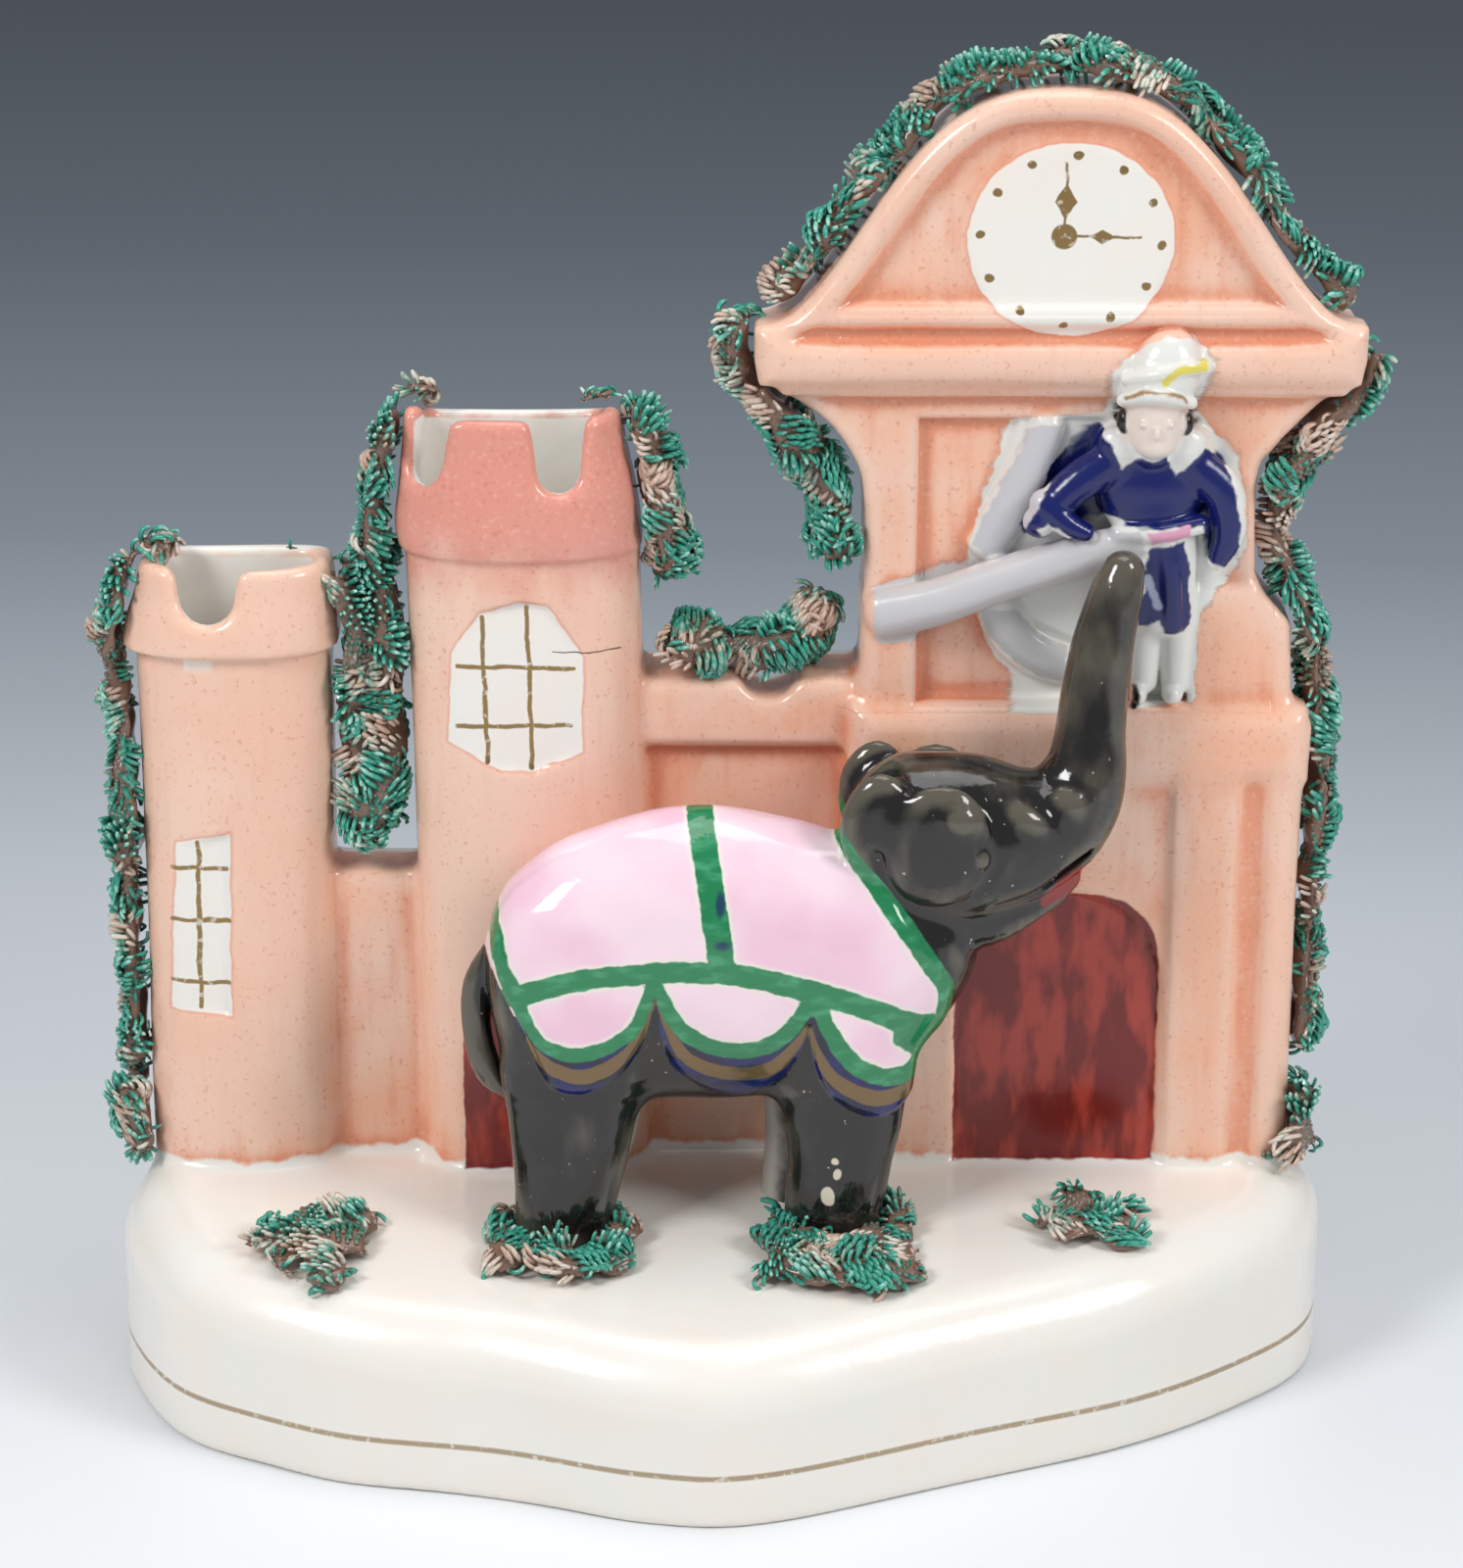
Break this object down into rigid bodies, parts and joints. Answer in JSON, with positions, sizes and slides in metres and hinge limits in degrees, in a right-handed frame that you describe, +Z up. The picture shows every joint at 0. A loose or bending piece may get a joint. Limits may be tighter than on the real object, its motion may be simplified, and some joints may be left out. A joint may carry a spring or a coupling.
{
  "type": "pottery elephant figure group",
  "caption": "Flat-backed earthenware ornament: an elephant in a caparison stands on a bowed base before a toy castle with open towers, a clock gable and clay foliage.",
  "frame": {"origin": "on the flat underside, below the middle of the base", "axes": "+Z up; +X to the right of someone facing the front; the front looks towards -Y and the flat back towards +Y"},
  "size_m": [0.1513, 0.0608, 0.16],
  "materials": {
    "salmon_glaze": "salmon and cream lead glaze over white earthenware, glossy",
    "black_glaze": "black glaze with a pink and green painted cloth, glossy",
    "leaf_clay": "strained clay strands, green and cream glaze"
  },
  "bodies": {
    "root": {"castle_on_base": "salmon_glaze", "elephant": "black_glaze", "foliage_left_tower": "leaf_clay", "foliage_left_corner": "leaf_clay", "foliage_between_towers": "leaf_clay", "foliage_tall_tower": "leaf_clay", "foliage_high_wall": "leaf_clay", "foliage_clock_tower": "leaf_clay", "foliage_gable": "leaf_clay", "foliage_right_side": "leaf_clay", "foliage_right_corner": "leaf_clay", "foliage_tuft_left": "leaf_clay", "foliage_tuft_right": "leaf_clay", "foliage_hind_feet": "leaf_clay", "foliage_fore_feet": "leaf_clay"}
  },
  "joints": []
}
